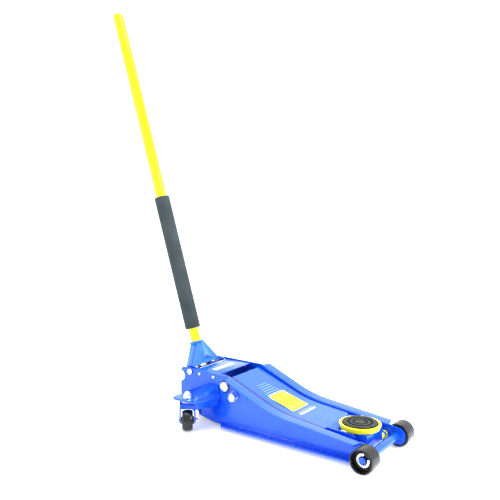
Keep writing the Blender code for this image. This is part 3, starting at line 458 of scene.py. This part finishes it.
def stations(marks, counts):
    """Values of x from the first mark to the last, with so many from each mark to the next."""
    runs = [np.linspace(a, b, n, endpoint=False) for a, b, n in zip(marks, marks[1:], counts)]
    return np.append(np.concatenate(runs), marks[-1])


def grid_faces(rows, columns, wrap_rows=False, wrap_columns=False):
    """Quads between neighbouring points of a grid numbered row by row."""
    i, j = np.meshgrid(np.arange(rows - (not wrap_rows)), np.arange(columns - (not wrap_columns)),
                       indexing="ij")
    k, m = (i + 1) % rows, (j + 1) % columns
    return np.stack([i * columns + j, i * columns + m, k * columns + m, k * columns + j],
                    -1).reshape(-1, 4)


def settle(obj, body, slot, finish_name, nodes):
    """Gives a piece its finish, its body and the nodes it stands for."""
    obj.data.materials.clear()
    obj.data.materials.append(FINISHES[finish_name or slot])
    if body:
        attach(obj, body)
    if nodes:
        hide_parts(*nodes)
    return obj


def make_piece(name, points, faces, body, slot, finish_name=None, nodes=(), sharp=35,
               weld=0.000002):
    """A piece from points and faces: seams and poles welded, faces outward, smooth to an angle."""
    mesh = bpy.data.meshes.new(name)
    mesh.from_pydata(np.asarray(points).reshape(-1, 3), [], faces)
    edit = bmesh.new()
    edit.from_mesh(mesh)
    bmesh.ops.remove_doubles(edit, verts=edit.verts, dist=weld)
    bmesh.ops.recalc_face_normals(edit, faces=edit.faces)
    edit.to_mesh(mesh)
    edit.free()
    mesh.shade_smooth()
    mesh.set_sharp_from_angle(angle=radians(sharp))
    obj = bpy.data.objects.new(name, mesh)
    bpy.context.scene.collection.objects.link(obj)
    return settle(obj, body, slot, finish_name, nodes)


def eased(outline, ease, closed):
    """An outline with each corner cut back along both sides and bridged by a quadratic curve."""
    outline = np.asarray(outline, float)
    if closed:
        before, after = np.roll(outline, 1, 0), np.roll(outline, -1, 0)
    else:
        before = np.vstack([outline[:1], outline[:-1]])
        after = np.vstack([outline[1:], outline[-1:]])
    back, forth = before - outline, after - outline
    back_length = np.linalg.norm(back, axis=1, keepdims=True)
    forth_length = np.linalg.norm(forth, axis=1, keepdims=True)
    cut = np.minimum(ease, 0.45 * np.minimum(back_length, forth_length))
    start = outline + back * cut / np.maximum(back_length, 1e-9)
    end = outline + forth * cut / np.maximum(forth_length, 1e-9)
    t = np.linspace(0, 1, 5)[None, :, None]
    curve = ((1 - t) ** 2 * start[:, None] + 2 * t * (1 - t) * outline[:, None]
             + t ** 2 * end[:, None]).reshape(-1, 2)
    keep = np.ones(len(curve), bool)
    keep[1:] = np.linalg.norm(np.diff(curve, axis=0), axis=1) > 1e-7
    return curve[keep]


def spun(outline, origin, axis, steps=72):
    """Grid of an outline turned about an axis: radius out along a circle, height along the axis."""
    axis = unit(axis)
    side, other = across_of(axis)
    angle = np.linspace(0, 2 * pi, steps, endpoint=False)
    circle = np.cos(angle)[:, None] * side + np.sin(angle)[:, None] * other
    return (np.asarray(origin, float) + outline[:, None, 1:2] * axis
            + outline[:, None, 0:1] * circle[None])


def turned(name, outline, origin, axis, body, slot, closed=True, ease=0.0006, steps=72, **rest):
    """A turned piece: an eased outline of (radius, height) corners spun about an axis."""
    outline = eased(outline, ease, closed)
    faces = grid_faces(len(outline), steps, wrap_rows=closed, wrap_columns=True)
    return make_piece(name, spun(outline, origin, axis, steps), faces, body, slot, **rest)


def merged_copy(node):
    """A welded copy of a CAD node's mesh, its flat faces joined."""
    edit = bmesh.new()
    edit.from_mesh(frame["nodes"][node].data)
    bmesh.ops.remove_doubles(edit, verts=edit.verts, dist=0.00001)
    return edit


def outline_of(node, origin, axis):
    """The (radius, height) corners of a turned CAD node in order, and whether they close on
    themselves: points with the same radius and height are one corner, joined as their edges are."""
    edit = merged_copy(node)
    points = np.array([vert.co for vert in edit.verts]) - np.asarray(origin, float)
    edges = np.array([[vert.index for vert in edge.verts] for edge in edit.edges])
    edit.free()
    height = points @ unit(axis)
    radius = np.linalg.norm(points - height[:, None] * unit(axis), axis=1)
    rings, ring_of = np.unique(np.round(np.stack([radius, height], 1), 5), axis=0,
                               return_inverse=True)
    ring_of = ring_of.ravel()
    links = np.unique(np.sort(ring_of[edges], axis=1), axis=0)
    links = links[links[:, 0] != links[:, 1]]
    near = {i: [] for i in range(len(rings))}
    for a, b in links:
        near[int(a)].append(int(b))
        near[int(b)].append(int(a))
    ends = [i for i in near if len(near[i]) == 1]
    walk = [ends[0] if ends else 0]
    while True:
        following = [i for i in near[walk[-1]] if i not in walk]
        if not following:
            break
        walk.append(following[0])
    corners = rings[walk]
    if ends:
        caps = [[(0.0, corners[k][1])] if corners[k][0] > 1e-5 else [] for k in (0, -1)]
        corners = np.array(caps[0] + corners.tolist() + caps[1])
    return corners, not ends


def respun(node, origin, axis, ease=0.0006, steps=72, finish_name=None):
    """A turned CAD node's own outline, eased and spun round finely."""
    corners, closed = outline_of(node, origin, axis)
    return turned(node + "_turned", corners, origin, axis, BODY_OF[node], SLOT_OF[node], closed,
                  ease, steps, finish_name=finish_name, nodes=[node])


def fettled(node, width, segments=2, angle=32, finish_name=None):
    """A welded copy of a CAD node with its edges broken."""
    edit = merged_copy(node)
    bmesh.ops.dissolve_limit(edit, angle_limit=radians(0.4), verts=edit.verts, edges=edit.edges)
    mesh = bpy.data.meshes.new(node + "_fettled")
    edit.to_mesh(mesh)
    edit.free()
    mesh.shade_smooth()
    obj = bpy.data.objects.new(node + "_fettled", mesh)
    bpy.context.scene.collection.objects.link(obj)
    bevel = obj.modifiers.new("broken_edges", "BEVEL")
    bevel.width = width
    bevel.segments = segments
    bevel.limit_method = "ANGLE"
    bevel.angle_limit = radians(angle)
    bevel.harden_normals = True
    return settle(obj, BODY_OF[node], SLOT_OF[node], finish_name, [node])


def sheet_solid(name, top, under, body, slot, **rest):
    """A sheet between two grids of the same size, its four rims closed."""
    rows, columns = top.shape[:2]
    points = np.concatenate([top, under[::-1]])
    faces = grid_faces(2 * rows, columns, wrap_rows=True)
    row = np.arange(rows - 1)
    opposite = 2 * rows - 1 - row
    ends = [np.stack([row * columns + c, (row + 1) * columns + c,
                      (opposite - 1) * columns + c, opposite * columns + c], -1)
            for c in (0, columns - 1)]
    return make_piece(name, points, np.concatenate([faces, *ends]), body, slot, **rest)


def line_of(corners, x):
    """Height at x of a line through (x, z, radius) corners, each rounded by a circle that touches
    both of its sides."""
    points = []
    for k, (u, v, radius) in enumerate(corners):
        here = np.array((u, v))
        if radius == 0:
            points.append([here])
            continue
        back = unit(np.array(corners[k - 1][:2]) - here)
        forth = unit(np.array(corners[k + 1][:2]) - here)
        half = np.arccos(back @ forth) / 2
        centre = here + unit(back + forth) * radius / np.sin(half)
        first = here + back * radius / np.tan(half) - centre
        turn = (pi - 2 * half) * (1 if back[0] * forth[1] - back[1] * forth[0] < 0 else -1)
        angle = np.linspace(0, turn, 60)
        points.append(centre + np.stack([first[0] * np.cos(angle) - first[1] * np.sin(angle),
                                         first[0] * np.sin(angle) + first[1] * np.cos(angle)], 1))
    points = np.concatenate(points)
    return np.interp(x, points[:, 0], points[:, 1])


def step(x, start, width):
    """0 before start, 1 after start + width, a smooth cubic between."""
    t = np.clip((x - start) / width, 0, 1)
    return t * t * (3 - 2 * t)


# --- Chassis ------------------------------------------------------------------------------------
REAR_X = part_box("side_plate_left")[0].x
TOP_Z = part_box("side_plate_left")[1].z
TIP_X = AXLE_X + 0.0131
SHEET = 0.005
WEB_INNER_Y, WEB_OUTER_Y = 0.089, 0.094
FOOT_WIDTH, LIP_Y = 0.023, 0.125
EDGE_BREAK, BEND_EXTRA, INSIDE_BEND = 0.0006, 0.0059, 0.0015
RAMP, NOSE = 0.42, 0.105
RAMP_FROM, NOSE_TO, NOSE_END_Z = 0.492, 0.036, 0.069
KNEE_ROUND = 0.390
KNEE_X = ahead(RAMP_FROM) + (TOP_Z - NOSE_END_Z - NOSE * (RAMP_FROM - NOSE_TO)) / (RAMP - NOSE)
KNEE_Z = TOP_Z - RAMP * (KNEE_X - ahead(RAMP_FROM))
UNDERSIDE_Z = 0.0105
WEB_SHARES = np.concatenate([np.linspace(0.0, 0.42, 8)[1:], np.linspace(0.46, 0.96, 34), [0.985]])


def web_top(x):
    """Top edge of a side plate: level at the rear, a steep ramp, then a shallow nose."""
    return line_of([(REAR_X - 0.01, TOP_Z, 0), (ahead(RAMP_FROM), TOP_Z, 0.060),
                    (KNEE_X, KNEE_Z, KNEE_ROUND), (ahead(NOSE_TO), NOSE_END_Z, 0.030),
                    (TIP_X, 0.0597, 0), (AXLE_X + 0.03, 0.0560, 0)], x)


def web_bottom(x):
    """Bottom edge of a side plate: it slopes up to the rear corner."""
    return line_of([(REAR_X - 0.01, 0.068, 0), (REAR_X, 0.062, 0), (ahead(0.640), 0.028, 0.02),
                    (ahead(0.550), UNDERSIDE_Z, 0.03), (AXLE_X + 0.03, UNDERSIDE_Z, 0)], x)


def rear_edge(z):
    """How far the rear edge stands in from the rearmost line: a round bite, a round top corner."""
    bite_radius, bite_z, corner_radius = 0.0180, 0.1435, 0.0115
    bite = np.sqrt(np.clip(bite_radius ** 2 - (z - bite_z) ** 2, 0, None)) - 0.002
    rise = np.clip(z - (TOP_Z - corner_radius), 0, corner_radius)
    corner = corner_radius - np.sqrt(np.clip(corner_radius ** 2 - rise ** 2, 0, None))
    return np.maximum(np.clip(bite, 0, None), corner)


def front_edge(z):
    """How far the nose stands out: a circle about the axle."""
    nose_radius = 0.028
    return np.sqrt(np.clip(nose_radius ** 2 - (z - AXLE_Z) ** 2, 0, None)) - (TIP_X - AXLE_X)


def bend(start, end, count=7):
    """Across and up of a unit circle's arc."""
    angle = np.linspace(start, end, count)
    return np.cos(angle), np.sin(angle)


def section_rows(x, y, low, high, low_bend, high_bend, foot_y, lip_y):
    """One face of the sheet along x, row by row: from the foot's edge, round the lower bend, up the
    web at this y, round the upper bend and out to the lip's edge."""
    face_low, face_high = low + low_bend, high - high_bend
    rows = [(foot_y, low), ((y + low_bend + foot_y) / 2, low)]
    rows += [(y + low_bend + low_bend * a, face_low + low_bend * b)
             for a, b in zip(*bend(1.5 * pi, pi))]
    rows += [(y + 0 * x, face_low + (face_high - face_low) * share) for share in WEB_SHARES]
    rows += [(y + high_bend + high_bend * a, face_high + high_bend * b)
             for a, b in zip(*bend(pi, 0.5 * pi))]
    rows += [((y + high_bend + lip_y) / 2, high), (lip_y, high)]
    return np.array([row[0] for row in rows]), np.array([row[1] for row in rows])


def side_plate(side_name, side):
    """Sheet whose section (lower flange, bend, web, bend, upper flange) is carried from the rear
    edge to the nose; the flanges fade in and out along it, and both ends follow their edges."""
    x = stations((REAR_X, REAR_X + 0.03, ahead(0.532), ahead(0.470), ahead(0.090), ahead(0.020),
                  TIP_X), (16, 20, 44, 90, 44, 13))
    top, bottom = web_top(x), web_bottom(x)
    upper = step(x, ahead(0.493), 0.012) * (1 - step(x, ahead(0.0315), 0.006))
    lower = step(x, ahead(0.530), 0.026) * (1 - step(x, ahead(0.056), 0.010))
    reach = LIP_Y - np.maximum(0, x - ahead(0.0365)) ** 2 * 90
    lip_y = WEB_OUTER_Y + upper * (reach - WEB_OUTER_Y)
    foot_y = WEB_OUTER_Y + lower * FOOT_WIDTH
    inside = section_rows(x, WEB_INNER_Y, bottom, top, EDGE_BREAK + BEND_EXTRA * lower,
                          EDGE_BREAK + BEND_EXTRA * upper, foot_y, lip_y)
    outside = section_rows(x, WEB_OUTER_Y, bottom + SHEET, top - SHEET, INSIDE_BEND * lower,
                           INSIDE_BEND * upper, foot_y, lip_y)
    rear_share = np.clip(1 - (x - REAR_X) / 0.07, 0, 1) ** 2
    front_share = np.clip(1 - (TIP_X - x) / 0.05, 0, 1) ** 2

    def grid(rows):
        y, z = rows
        along = x + rear_share * rear_edge(z) + front_share * front_edge(z)
        return np.stack([along, side * y, z], -1)

    name = f"side_plate_{side_name}"
    sheet_solid(name + "_pressed", grid(inside), grid(outside), "chassis", "blue_paint",
                nodes=[name], sharp=40)


def chassis():
    for side_name, side in SIDES:
        side_plate(side_name, side)
        fettled(f"caster_bracket_{side_name}", 0.0022, 3)
        # The clip's finish has painted shade in its centre.
        fettled(f"axle_clip_{side_name}", 0.0004, finish_name="clip_zinc_painted_shade")
        fettled(f"link_bolt_{side_name}", 0.0006, finish_name="zinc_on_blue_washer")
        fettled(f"caster_stem_{side_name}", 0.0005)
        for row in ("rear", "front"):
            node = f"cover_screw_{row}_{side_name}"
            low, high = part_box(node)
            respun(node, (low + high) / 2, Y_AXIS, 0.0004, 40)
    fettled("rear_cover", 0.0008)
    fettled("rear_tie_bolt", 0.0006)
    fettled("yoke_shaft", 0.0006, finish_name="dark_shank")
    respun("front_axle", (AXLE_X, 0, AXLE_Z), Y_AXIS, 0.0008)
    # The pin's finish has a near-black ring round its head.
    respun("arm_pivot_pin", JOINTS["lift_arm_pivot"]["pos_m"], Y_AXIS, 0.0008,
           finish_name="zinc_with_black_ring")


# --- Rollers and casters ------------------------------------------------------------------------
def wheels():
    for side_name, _ in SIDES:
        respun(f"front_roller_{side_name}", (AXLE_X, 0, AXLE_Z), Y_AXIS, 0.0010, 120)
        swivel = JOINTS[f"caster_{side_name}_swivel"]["pos_m"]
        spin = JOINTS[f"caster_{side_name}_spin"]
        respun(f"caster_bearing_{side_name}", swivel, Z_AXIS)
        respun(f"caster_wheel_{side_name}", spin["pos_m"], spin["axis"], 0.0014, 120)
        respun(f"caster_axle_{side_name}", spin["pos_m"], spin["axis"], 0.0006, 48)
        fettled(f"caster_fork_{side_name}", 0.0008)


# --- Lift arm and saddle ------------------------------------------------------------------------
PLATE_DROP = 0.0065
PLATE_THICKNESS, EDGE_ROLL = 0.004, 0.0030


def plate_top(x):
    """Top of the lift arm's wide plate: it follows the side plates' edge a little lower."""
    nose_x = ahead(0.151)
    nose_z = NOSE_END_Z + NOSE * (ahead(NOSE_TO) - nose_x) - PLATE_DROP
    return line_of([(ahead(0.500), TOP_Z - 0.0095, 0), (KNEE_X, KNEE_Z - PLATE_DROP, KNEE_ROUND),
                    (nose_x, nose_z, 0.012),
                    (ahead(0.122), 0.0665, 0)], x)


def lift_arm():
    """The wide plate: its half width times -1 to 1 across, its top line along."""
    x = stations((ahead(0.500), ahead(0.166), ahead(0.145), ahead(0.122)), (100, 26, 13))
    half = np.interp(x, [ahead(0.500), ahead(0.163), ahead(0.151), ahead(0.1495), ahead(0.122)],
                     [0.087, 0.087, 0.074, 0.0595, 0.0546])
    turn = np.linspace(0, pi / 2, 9)
    rolled = 0.045
    rim = 1 - rolled * (1 - np.sin(turn))
    flat = np.linspace(rolled - 1, 1 - rolled, 25)[1:-1]
    across = np.concatenate([-rim[::-1], flat, rim])[:, None]
    fall = np.concatenate([1 - np.cos(turn)[::-1], np.zeros(23), 1 - np.cos(turn)])[:, None]
    top = np.stack([np.broadcast_to(x, (len(across), len(x))), across * half,
                    plate_top(x) - EDGE_ROLL * fall], -1)
    # The plate's finish has painted shade along both edges.
    plate = sheet_solid("arm_top_plate_pressed", top, top - (0, 0, PLATE_THICKNESS), "lift_arm",
                        "blue_paint", nodes=["arm_top_plate"], sharp=40,
                        finish_name="blue_plate_painted_shade_edges")
    bevel = plate.modifiers.new("broken_edges", "BEVEL")
    bevel.width = 0.0006
    bevel.segments = 2
    bevel.limit_method = "ANGLE"
    bevel.angle_limit = radians(50)
    low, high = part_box("arm_cross_tube")
    respun("arm_cross_tube", (low + high) / 2, Y_AXIS)
    respun("saddle_pivot_pin", JOINTS["saddle_block_pivot"]["pos_m"], Y_AXIS,
           finish_name="blue_paint")
    for side_name, _ in SIDES:
        fettled(f"arm_side_plate_{side_name}", 0.0008)
        fettled(f"tie_rod_{side_name}", 0.0008)


def saddle():
    fettled("saddle_block", 0.0012, 3)
    low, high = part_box("link_pin")
    respun("link_pin", (low + high) / 2, Y_AXIS, 0.0012)
    home = JOINTS["saddle_turn"]["pos_m"]
    respun("saddle_cup", home, Z_AXIS, 0.0012, 128)
    saddle_pad(home)


def saddle_pad(home):
    """The pad's outline spun round, its outer wall set in at eight short notches."""
    notches, notch_depth, wall_from, steps = 8, 0.045, 0.0470, 192
    corners, closed = outline_of("saddle_pad", home, Z_AXIS)
    outline = eased(corners, 0.0008, closed)
    points = spun(outline, (0, 0, 0), Z_AXIS, steps)
    angle = np.linspace(0, 2 * pi, steps, endpoint=False)
    notch = step(np.cos(notches * angle + 0.6), 0.72, 0.12)
    edge = step(outline[:, 0], wall_from, 0.0030)
    scale = 1 - notch_depth * edge[:, None] * notch[None]
    points[..., :2] *= scale[..., None]
    faces = grid_faces(len(outline), steps, wrap_rows=closed, wrap_columns=True)
    make_piece("saddle_pad_ridged", points + np.array(home), faces, "saddle", "saddle_rubber",
               nodes=["saddle_pad"])


# --- Handle and yoke ----------------------------------------------------------------------------
COLLAR_TOP = 0.0912
SOCKET_BORE, SOCKET_RADIUS = 0.0178, 0.0217


def handle():
    """The turned tubes and grip, the yoke, and the smooth skin of its socket and collar."""
    twist = JOINTS["handle_twist"]
    for node, ease in (("handle_lower_tube", 0.0006), ("handle_upper_tube", 0.0030),
                       ("handle_grip", 0.0016), ("release_driver", 0.0006)):
        respun(node, twist["pos_m"], twist["axis"], ease, 96)
    # The yoke's finish: painted light on its front, painted shade on its side.
    fettled("handle_yoke", 0.0008, finish_name="yoke_painted_light_and_shade")
    top = COLLAR_TOP
    socket = [(SOCKET_BORE, top - 0.001), (0.0264, top + 0.0001), (0.0272, top - 0.0016),
              (0.0260, top - 0.0062), (0.0222, top - 0.0090), (SOCKET_RADIUS, 0.070),
              (SOCKET_RADIUS, 0.029), (SOCKET_BORE, 0.029)]
    # The socket skin has the blue paint's painted-light copy.
    turned("yoke_socket_skin", socket, twist["pos_m"], twist["axis"], "yoke", "blue_paint",
           ease=0.0014, steps=96, finish_name="blue_paint_painted_lit")
    low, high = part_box("yoke_sleeve")
    respun("yoke_sleeve", (low + high) / 2, Y_AXIS)


# --- Inside pieces, which keep their CAD shape --------------------------------------------------
def insides():
    for node, obj in frame["nodes"].items():
        if not obj.hide_render:
            dark = node.startswith(("pump_roller", "valve"))
            for slot in obj.material_slots:
                slot.material = FINISHES["black_steel" if dark else SLOT_OF[node]]


# --- Labels, and the painted highlight on the rear cover's edge ---------------------------------
def patch(name, centre, half, corner, height, body, finish_name, lift=0.00015, turns=48):
    """A thin sticker: a round-cornered rectangle filled by rings from its centre out to its edge,
    laid on a surface height that is a function of x."""
    angle = np.linspace(0, 2 * pi, turns, endpoint=False) + pi / turns
    edge = np.stack([np.cos(angle), np.sin(angle)], 1)
    edge = np.sign(edge) * np.abs(edge) ** (2 / corner)
    ring = np.linspace(0, 1, 9)[:, None, None]
    plan = np.asarray(centre) + ring * edge[None] * np.asarray(half)
    z = height(plan[..., 0]) + lift
    top = np.concatenate([plan, z[..., None]], -1)
    points = np.concatenate([top, top[::-1] - (0, 0, lift * 0.9)])
    faces = grid_faces(2 * len(top), turns, wrap_columns=True)
    slot = "yellow_paint" if "yellow" in finish_name else "zinc_plate"
    return make_piece(name, points, faces, body, slot, finish_name=finish_name)


LABEL_X, LABEL_Y = ahead(0.3275), 0.003
LABEL_HALF = (0.0472, 0.0430)
DOT_HALF = (0.0058, 0.0056)
DOT_OFFSETS = ((-0.030, 0.024), (-0.026, -0.020), (-0.002, 0.022), (0.002, -0.022),
               (0.027, 0.020), (0.030, -0.024))
DOT_LIFT = 0.0003
LINE_DISTANCES = (0.3795, 0.389, 0.399, 0.409, 0.419, 0.429)
LINE_HALF = (0.0008, 0.040)
LINE_SHORTENS = 0.003
# Painted highlight: a white rod along the rear cover's bent edge.
EDGE_HIGHLIGHT_RADIUS, EDGE_HIGHLIGHT_HALF = 0.0013, 0.070


def arm_labels():
    """Plain shapes where the arm plate's printing is: nothing is written on them."""
    patch("arm_label", (LABEL_X, LABEL_Y), LABEL_HALF, 30, plate_top, "lift_arm",
          "label_yellow", turns=192)
    for k, (dx, dy) in enumerate(DOT_OFFSETS):
        patch(f"arm_label_dot_{k}", (LABEL_X + dx, LABEL_Y + dy), DOT_HALF, 2, plate_top,
              "lift_arm", "label_pale_yellow", DOT_LIFT)
    for k, distance in enumerate(LINE_DISTANCES):
        half = (LINE_HALF[0], LINE_HALF[1] - LINE_SHORTENS * k)
        patch(f"arm_label_line_{k}", (ahead(distance), 0.0), half, 8, plate_top, "lift_arm",
              "label_yellow" if k == 0 else "label_pale_blue")
    patch("arm_label_line_front", (ahead(0.2665), 0.0), (0.0010, 0.042), 8, plate_top, "lift_arm",
          "label_pale_blue")
    patch("arm_label_bar", (ahead(0.255), 0.0), (0.0046, 0.043), 12, plate_top, "lift_arm",
          "label_white")


def cover_label_and_painted_highlight():
    """The rear cover's white bar, and a white rod along its rear edge that is a painted highlight of the bent
    edge.
    """
    low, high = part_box("rear_cover")
    patch("cover_label", (ahead(0.584), -0.004), (0.0100, 0.052), 12,
          lambda x: 0 * x + high.z, "chassis", "label_white")
    edge_highlight = [(0, EDGE_HIGHLIGHT_HALF), (EDGE_HIGHLIGHT_RADIUS, EDGE_HIGHLIGHT_HALF), (EDGE_HIGHLIGHT_RADIUS, -EDGE_HIGHLIGHT_HALF), (0, -EDGE_HIGHLIGHT_HALF)]
    turned("cover_edge_painted_highlight", edge_highlight, (low.x + 0.0011, 0, high.z - 0.0007), Y_AXIS, "chassis", "zinc_plate",
           closed=False, steps=32, finish_name="label_white")


# --- Springs ------------------------------------------------------------------------------------
def coil(node, start, end, radius, wire, turns):
    """A closed-ended coil of round wire, on no body: the wire
    circle is carried along a helix whose pitch dies away over the first and last half turn."""
    start, end = np.asarray(start, float), np.asarray(end, float)
    axis = unit(end - start)
    side, other = across_of(axis)
    share = np.linspace(0, 1, turns * 36 + 1)
    angle = 2 * pi * turns * share
    rise = np.clip((share * turns - 0.5) / (turns - 1.0), 0, 1)
    height = wire / 2 + rise * (np.linalg.norm(end - start) - wire)
    out = np.cos(angle)[:, None] * side + np.sin(angle)[:, None] * other
    line = start + radius * out + height[:, None] * axis
    sides = 10
    around = np.linspace(0, 2 * pi, sides, endpoint=False)
    rings = (line[:, None] + wire / 2 * np.cos(around)[None, :, None] * out[:, None]
             + wire / 2 * np.sin(around)[None, :, None] * axis)
    points = np.concatenate([np.repeat(line[:1, None], sides, 1), rings,
                             np.repeat(line[-1:, None], sides, 1)])
    faces = grid_faces(len(points), sides, wrap_columns=True)
    piece = make_piece(node + "_wound", points, faces, None, "spring_steel", nodes=[node],
                       weld=0.00001)
    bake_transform(piece)


def springs():
    for side_name, _ in SIDES:
        for kind, moving, along, wire, turns in (("return_spring", "ram", 0, 0.0020, 10),
                                                 ("pump_spring", "pump", 2, 0.0018, 4)):
            node = f"{kind}_{side_name}"
            low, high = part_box(node)
            start = (low + high) / 2
            end = start.copy()
            start[along], end[along] = low[along], high[along]
            across = (along + 1) % 3
            radius = (high[across] - low[across] - wire) / 2
            coil(node, start, end, radius, wire, turns)


make_camera()
make_studio()
make_finishes()
chassis()
wheels()
lift_arm()
saddle()
handle()
springs()
insides()
arm_labels()
cover_label_and_painted_highlight()
